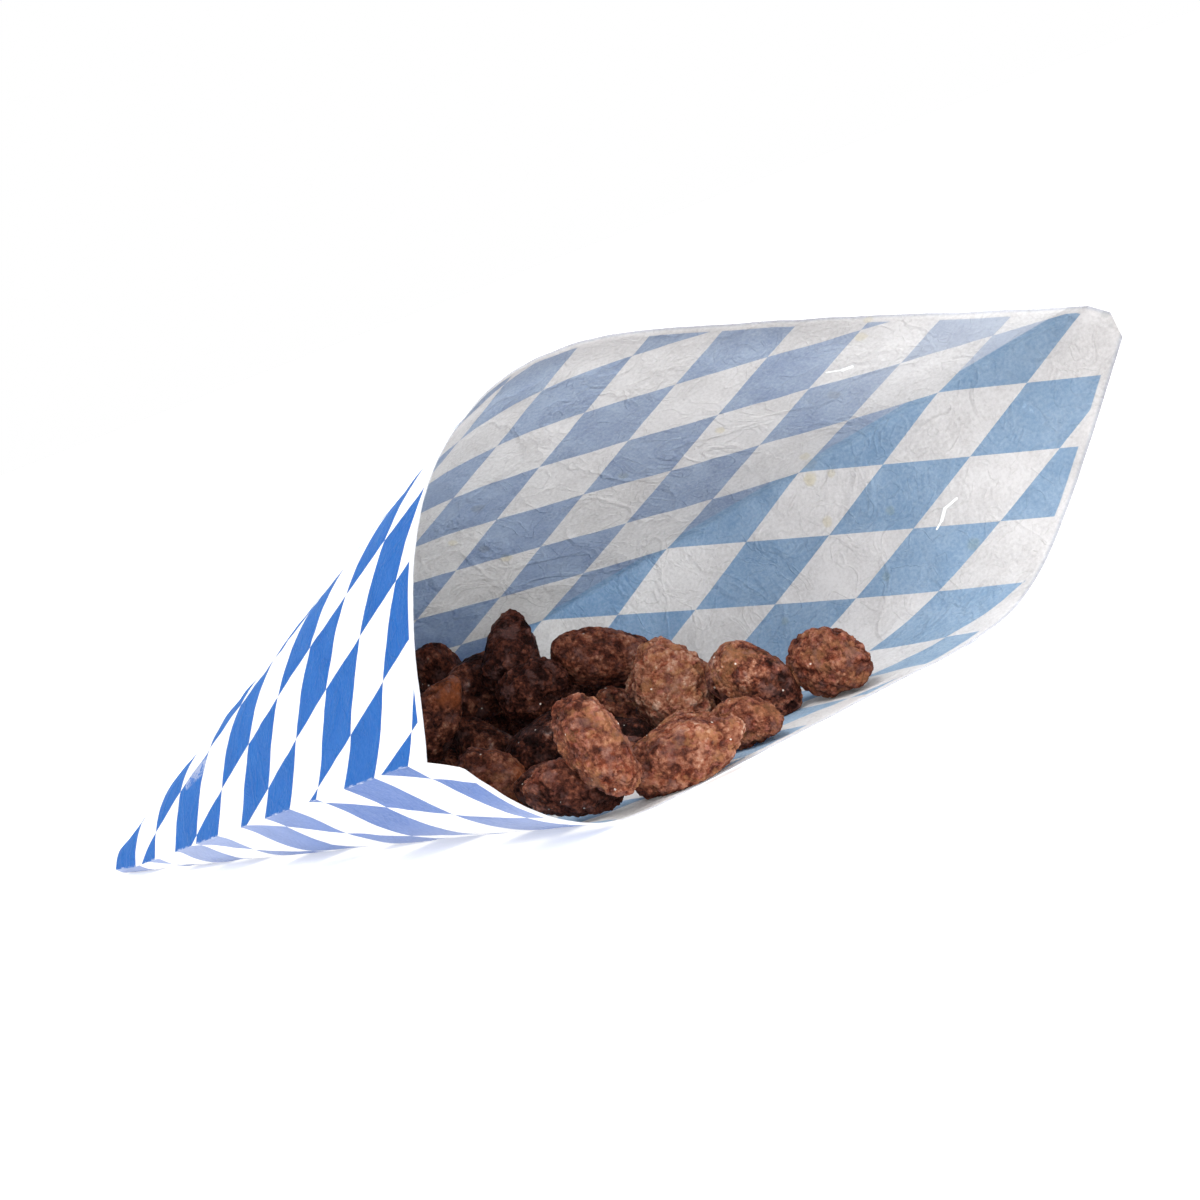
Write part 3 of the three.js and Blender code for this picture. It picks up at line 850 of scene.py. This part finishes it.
def almond_piece(name, looks):
    """One kind's almonds as one mesh, each from its row of the table and with a seed of its own."""
    rows, first_seed, rings, around, gloss, contrast = KINDS[name]
    crust = crust_material(name.replace("almonds", "crust"), looks, gloss, contrast)
    parts, offset = [], 0
    for index, row in enumerate(rows):
        placed, quads, *marks = almond_surface(row, first_seed + index, rings, around)
        inside = kept_inside(placed, PAPER + ALMOND_GAP)
        parts.append((inside, np.where(quads < 0, -1, quads + offset), *marks))
        offset += len(placed)
    sugar_piece(name, *(np.concatenate(arrays) for arrays in zip(*parts)), crust)


# ---------------- settings


def tint(name, description, default):
    """A colour that a user may change."""
    return bpy.props.FloatVectorProperty(
        name=name, description=description, default=default, size=3, min=0.0, max=1.0, subtype="COLOR"
    )


def amount(name, description, default, **limits):
    """A number, not below zero, that a user may change."""
    return bpy.props.FloatProperty(name=name, description=description, default=default, min=0.0, **limits)


class CandyBagSettings(bpy.types.PropertyGroup):
    """Paper bag."""

    crumple: amount("Crumple", "How far the paper is dented inwards, in millimetres", 0.45, max=1.5)
    outer_ink: tint("Outer ink", "Blue of the print outside, above", (0.014, 0.105, 0.36))
    outer_deep: tint("Outer ink, deep", "Deeper blue in that print", (0.006, 0.083, 0.315))
    # Painted light: the lower ink outside is the print's blue made paler, as the floor lights that strip.
    lower_lit_ink: tint("Lower ink", "Blue of the print outside, below", (0.127, 0.192, 0.405))
    lower_lit_deep: tint("Lower ink, deep", "Deeper blue in that print", (0.092, 0.152, 0.345))
    inner_ink: tint("Inner ink", "Blue that shows inside, above", (0.48, 0.57, 0.695))
    inner_deep: tint("Inner ink, deep", "Deeper blue in that print", (0.335, 0.415, 0.565))
    floor_ink: tint("Inner floor ink", "Blue that shows inside, below", (0.42, 0.56, 0.71))
    floor_deep: tint("Inner floor ink, deep", "Deeper blue in that print", (0.275, 0.425, 0.595))
    paper: tint("Paper", "White of the paper", (0.88, 0.875, 0.87))
    shade: tint("Paper shade", "Greyer white in the paper", (0.69, 0.682, 0.675))
    # Painted shade: the grey that darkens the inside towards the mouth and near the rim, and all the paper
    # along its crumple ridges.
    shaded_paper: tint("Worn paper", "How much darker the inside is near the rim", (0.69, 0.682, 0.686))


class CandyAlmondSettings(bpy.types.PropertyGroup):
    """Candied almonds."""

    # Both blackened caramel and painted shade: it colours the crumb and the darkest almonds deep in the
    # heap.
    char: tint("Charred sugar", "Blackest caramel, deep in the heap", (0.0075, 0.0026, 0.0020))
    burnt: tint("Burnt sugar", "Darkest caramel, in the pits", (0.028, 0.0085, 0.0062))
    brown: tint("Brown sugar", "Dark brown of the crust", (0.092, 0.028, 0.0175))
    russet: tint("Russet sugar", "Main brown of the crust", (0.198, 0.066, 0.037))
    tan: tint("Tan sugar", "Light brown of the grains", (0.36, 0.158, 0.096))
    pale: tint("Pale sugar", "Palest grains", (0.52, 0.315, 0.225))
    amber: tint("Amber tint", "Tint of the redder patches", (0.70, 0.36, 0.27))
    honey: tint("Honey sugar", "Yellower brown of the thickest crust", (0.39, 0.18, 0.080))
    rosy: tint("Rosy sugar", "Pinkish brown granules", (0.36, 0.125, 0.098))
    orange: tint("Bare caramel", "Orange where the almond is bare", (0.32, 0.088, 0.030))
    # Painted sheen: a greyish purple veil for the sky reflected in the crust.
    sheen: tint("Sugar film", "Greyish purple sugar film", (0.17, 0.088, 0.078))
    sugar: tint("Sugar", "Sugar crystals", (0.78, 0.70, 0.62))


class CandyStageSettings(bpy.types.PropertyGroup):
    """Studio."""

    floor: tint("Floor", "Pale floor", (0.93, 0.93, 0.93))
    glow: amount("Floor glow", "Light from the floor itself", 0.46)
    surround: amount("Surround", "Strength of the even light", 1.0)
    key: amount("Key light", "Strength of the light from above", 1.7)
    fill: amount("Fill light", "Strength of the light into the mouth", 0.85)


# ---------------- operators


class CANDY_OT_paper_bag(bpy.types.Operator):
    """Make the printed paper bag, as thin paper with an outside and an inside"""

    bl_idname = "candy.paper_bag"
    bl_label = "Paper bag"

    def execute(self, context):
        looks = context.scene.candy_bag
        points, faces, uv, slots = bag_surface(looks.crumple)
        piece = mesh_object("printed_paper_bag", to_frame(points), faces, uv, slots)
        outer = ((looks.outer_ink, looks.outer_deep), (looks.lower_lit_ink, looks.lower_lit_deep))
        inner = ((looks.inner_ink, looks.inner_deep), (looks.floor_ink, looks.floor_deep))
        piece.data.materials.append(paper_material("paper_outside", outer, looks, outside=True))
        piece.data.materials.append(paper_material("paper_inside", inner, looks, outside=False))
        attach(piece, "root")
        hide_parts("paper_cone")
        return {"FINISHED"}


def bag_walls(crumple):
    """The two walls as rows of points along each ruling, outer and inner, and their places on the sheet.

    A point lies on its ruling at a share of the way from the tip to the rim. Dents move it inwards by
    smooth noise on the flat sheet, none at the glued edge. The top of the mouth sags a little, the glued
    edge's corner is turned out and down, and the rest of that edge settles.
    """
    angles = station_angles(RULING_STEP)
    ways = directions(angles)
    first = TIP + TIP_ROUND
    share = np.linspace(0, 1, RULING_ROWS)[:, None]
    radius = first + (rim(angles) - first) * share
    x, y = radius * np.cos(angles * DEG), radius * np.sin(angles * DEG)
    flat = np.stack([x, y, np.zeros_like(x)], axis=-1).reshape(-1, 3)
    broad = layered_noise(flat / BROAD_DENT, 5, 3).reshape(x.shape)
    fine = np.abs(layered_noise(flat / FINE_DENT + 40.0, 8, 3) - 0.5).reshape(x.shape) * 2
    held = np.clip((x - np.abs(y)) * math.sqrt(0.5) / DENT_TO_GLUE, 0, 1)
    held = held * np.clip(np.abs(y) / DENT_TO_FOLD, DENT_ON_FOLD, 1)
    sag = SAG * np.exp(-(((angles - SAG_ANGLE) / SAG_WIDTH) ** 2)) * share**4
    shift = (crumple * held * (broad * 0.9 + fine * 0.9) + sag)[:, :, None]
    start = np.where(angles < 0, GLUE_LOWER, GLUE_UPPER)
    near_glue = np.clip((np.abs(angles) - start) / (PANEL_ANGLE - start), 0, 1) ** 1.5
    near_rim = np.clip((radius - DROOP_START) / (UPPER_LEG - DROOP_START), 0, 1.05) ** 1.6
    settle = np.clip((radius - first) / SETTLE_RISE, 0, 1)
    settle = settle * np.clip((SETTLE_END - radius) / SETTLE_FALL, 0, 1)
    along = radius[:, :, None] * ways + (near_glue * near_rim)[:, :, None] * np.array(CORNER_DROOP)
    along[:, :, 2] -= EDGE_SETTLE * near_glue * settle
    inward = inward_shifts(ways, 1.0)
    return along + shift * inward, along + (shift + PAPER) * inward, x, y


def bag_surface(crumple):
    """The bag as a closed thin wall: an outside with a round tip, an inside, and a strip along the rim.

    The tip's rows shrink the first row towards its middle by the sine of a turning angle.
    """
    outer, inner, x, y = bag_walls(crumple)
    columns = x.shape[1]
    blunt = outer[0]
    middle = blunt.mean(axis=0)
    turns = np.linspace(0, math.pi / 2, TIP_ROWS + 2)[1:-1, None, None]
    centres = middle * ((TIP + TIP_ROUND * (1 - np.cos(turns))) / middle[0])
    tip = (blunt - middle) * np.sin(turns) + centres
    poles = [middle * (TIP / middle[0]), inner[0].mean(axis=0)]
    points = np.concatenate([tip.reshape(-1, 3), outer.reshape(-1, 3), inner.reshape(-1, 3), poles])
    shrink = tip[:, :, 0] / blunt[:, 0]
    sheet = [
        np.concatenate([(flat[:1] * shrink).reshape(-1), flat.reshape(-1), flat.reshape(-1), [end, end]])
        for flat, end in ((x, TIP), (y, 0))
    ]

    outer_rows, inner_rows = TIP_ROWS + len(outer), len(inner)
    inner_start = outer_rows * columns
    ring = np.arange(columns)
    outer_edge = ring + (outer_rows - 1) * columns
    inner_edge = outer_edge + inner_rows * columns
    parts = [
        grid_quads(outer_rows, columns),
        grid_quads(inner_rows, columns, inner_start, turned=True),
        np.column_stack([outer_edge, np.roll(outer_edge, -1), np.roll(inner_edge, -1), inner_edge]),
        fan_triangles(ring, len(points) - 2),
        fan_triangles(ring + inner_start, len(points) - 1, turned=True),
    ]
    faces = np.concatenate(parts)
    slots = np.repeat([0, 1, 1, 0, 1], [len(part) for part in parts])

    # The first column lies on the lower side of the glued edge; a face that reaches it from the upper side
    # takes its mirrored place, so that the print doesn't run back across the sheet.
    corners = np.maximum(faces, 0)
    u, v = (places[corners] / LOZENGE for places in sheet)
    wraps = v.max(axis=1) - v.min(axis=1) > 0.6 * np.abs(v).max(axis=1)
    v = np.where(wraps[:, None] & (corners % columns == 0) & (v < 0), -v, v)
    return points, faces, np.stack([u, v], axis=-1), slots


class CANDY_OT_rough_almonds(bpy.types.Operator):
    """Make the almonds with a thick, rough sugar crust"""

    bl_idname = "candy.rough_almonds"
    bl_label = "Rough almonds"

    def execute(self, context):
        almond_piece("rough_almonds", context.scene.candy_almonds)
        return {"FINISHED"}


class CANDY_OT_dark_almonds(bpy.types.Operator):
    """Make the almonds with a dark, rough crust"""

    bl_idname = "candy.dark_almonds"
    bl_label = "Dark almonds"

    def execute(self, context):
        almond_piece("dark_almonds", context.scene.candy_almonds)
        return {"FINISHED"}


class CANDY_OT_glazed_almonds(bpy.types.Operator):
    """Make the almonds with a thin, glossy caramel glaze"""

    bl_idname = "candy.glazed_almonds"
    bl_label = "Glazed almonds"

    def execute(self, context):
        almond_piece("glazed_almonds", context.scene.candy_almonds)
        return {"FINISHED"}


class CANDY_OT_under_almonds(bpy.types.Operator):
    """Make the almonds that lie underneath and deep in the bag"""

    bl_idname = "candy.under_almonds"
    bl_label = "Almonds underneath"

    def execute(self, context):
        almond_piece("under_almonds", context.scene.candy_almonds)
        return {"FINISHED"}


class CANDY_OT_core(bpy.types.Operator):
    """Make the sugar crumb under the almonds, painted dark as the shade between them"""

    bl_idname = "candy.core"
    bl_label = "Crumb underneath"

    def execute(self, context):
        points, faces, height = core_surface()
        tone, warm = np.full(len(points), CRUMB_SHADE_TONE), np.zeros(len(points))
        crust = crust_material("core_crust", context.scene.candy_almonds, gloss=0.1, contrast=1.0)
        sugar_piece("sugar_crumb_core", points, faces, height, tone, warm, crust)
        return {"FINISHED"}


# The crumb's mound, in millimetres: the middle and half of its length, its middle line and its half width as
# a share of the distance from the apex, the middle and half of its height, and its lumps' size and height.
CRUMB_X = (112.0, 44.0)
CRUMB_Y = (2.0, 0.16)
CRUMB_Z = (3.6, 3.4)
CRUMB_LUMP, CRUMB_RISE = 7.0, 1.6
# Painted shade: the crumb's tone, below any almond's, makes it a dark filler for the shadow between the
# almonds.
CRUMB_SHADE_TONE = -0.2


def core_surface():
    """A low lumpy mound: an ellipsoid flattened onto the paper, tapering towards the bag's point."""
    ball, faces = unit_ball(58, 48)
    x = CRUMB_X[0] + CRUMB_X[1] * ball[:, 0]
    y = CRUMB_Y[0] + ball[:, 1] * CRUMB_Y[1] * x
    z = CRUMB_Z[0] + CRUMB_Z[1] * ball[:, 2]
    points = np.column_stack([x, y, z])
    lumps = (layered_noise(points / CRUMB_LUMP, 77, 3) - 0.5) * 2
    points[:, 2] += lumps * CRUMB_RISE
    return kept_inside(points, PAPER + CRUMB_GAP), faces, 0.5 + 0.5 * lumps


# Camera, measured from the apex in millimetres: its place, and its right and up directions.
CAMERA_AT = (560.8, -394.4, 105.8)
CAMERA_RIGHT = (0.71819, 0.59506, -0.36071)
CAMERA_UP = (0.18756, 0.33365, 0.92385)
CAMERA_LENS = 78.73
SENSOR_WIDTH = 36.0

# Half the floor's side in metres; where both lights come from, and how wide they look in degrees.
FLOOR_HALF = 40.0
KEY_WAY, KEY_SPREAD = (0.15, -0.35, 1.0), 30.0
FILL_WAY, FILL_SPREAD = (0.78, -0.6, 0.3), 40.0
WHITE = (1.0, 1.0, 1.0, 1.0)
FLOOR_CLOUD = (0.86, 0.86, 0.87, 1.0)


class CANDY_OT_stage(bpy.types.Operator):
    """Make the pale floor, the lights and the camera"""

    bl_idname = "candy.stage"
    bl_label = "Studio"

    def execute(self, context):
        looks = context.scene.candy_stage
        scene = context.scene
        scene.view_settings.view_transform = "Standard"
        corners = FLOOR_HALF * np.array([[-1, -1, 0], [1, -1, 0], [1, 1, 0], [-1, 1, 0]])
        floor = mesh_object("floor", corners, np.array([[0, 1, 2, 3]]))
        s = Shader("floor_white")
        colour = s.mix(s.noise(s.objects(), 6.0, 2.0) * 0.05, opaque(looks.floor), FLOOR_CLOUD)
        floor.data.materials.append(s.finish({
            "Base Color": colour, "Roughness": 0.8, "Specular IOR Level": 0.1,
            "Emission Color": WHITE, "Emission Strength": looks.glow,
        }))
        world = bpy.data.worlds.new("surround")
        world.use_nodes = True
        background = world.node_tree.nodes["Background"]
        background.inputs["Color"].default_value = WHITE
        background.inputs["Strength"].default_value = looks.surround
        scene.world = world
        self.sun("key_light", KEY_WAY, KEY_SPREAD, looks.key)
        self.sun("fill_light", FILL_WAY, FILL_SPREAD, looks.fill)
        camera_data = bpy.data.cameras.new("camera")
        camera_data.lens = CAMERA_LENS
        camera_data.sensor_width = SENSOR_WIDTH
        camera = bpy.data.objects.new("camera", camera_data)
        right, up = Vector(CAMERA_RIGHT).normalized(), Vector(CAMERA_UP)
        up = (up - right * up.dot(right)).normalized()
        back = right.cross(up)
        turn = Matrix((right, up, back)).transposed().to_4x4()
        camera.matrix_world = Matrix.Translation(Vector(to_frame(np.array(CAMERA_AT)))) @ turn
        scene.collection.objects.link(camera)
        scene.camera = camera
        return {"FINISHED"}

    @staticmethod
    def sun(name, way, spread, strength):
        """A far light that shines from a direction, as wide as an angle in degrees."""
        data = bpy.data.lights.new(name, "SUN")
        data.angle = spread * DEG
        data.energy = strength
        lamp = bpy.data.objects.new(name, data)
        lamp.rotation_euler = Vector(way).to_track_quat("Z", "Y").to_euler()
        bpy.context.scene.collection.objects.link(lamp)


class CANDY_PT_panel(bpy.types.Panel):
    """The steps and settings of the almonds"""

    bl_idname = "CANDY_PT_panel"
    bl_label = "Candied almonds"
    bl_space_type = "VIEW_3D"
    bl_region_type = "UI"
    bl_category = "Almonds"

    def draw(self, context):
        for step in STEPS:
            self.layout.operator(step.bl_idname)
        for name, settings in SETTINGS.items():
            for key in settings.__annotations__:
                self.layout.prop(getattr(context.scene, name), key)


STEPS = (
    CANDY_OT_stage, CANDY_OT_paper_bag, CANDY_OT_core, CANDY_OT_under_almonds,
    CANDY_OT_glazed_almonds, CANDY_OT_dark_almonds, CANDY_OT_rough_almonds,
)
SETTINGS = {
    "candy_bag": CandyBagSettings,
    "candy_almonds": CandyAlmondSettings,
    "candy_stage": CandyStageSettings,
}
CLASSES = (*SETTINGS.values(), *STEPS, CANDY_PT_panel)


def register():
    """Adds the classes to Blender, and the settings to its scenes."""
    for cls in CLASSES:
        bpy.utils.register_class(cls)
    for key, group in SETTINGS.items():
        setattr(bpy.types.Scene, key, bpy.props.PointerProperty(type=group))


def unregister():
    """Takes the settings and the classes out again."""
    for key in SETTINGS:
        delattr(bpy.types.Scene, key)
    for cls in reversed(CLASSES):
        bpy.utils.unregister_class(cls)


def main():
    """Registers the add-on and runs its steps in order."""
    register()
    for step in STEPS:
        group, name = step.bl_idname.split(".")
        getattr(getattr(bpy.ops, group), name)()


if __name__ == "__main__":
    main()
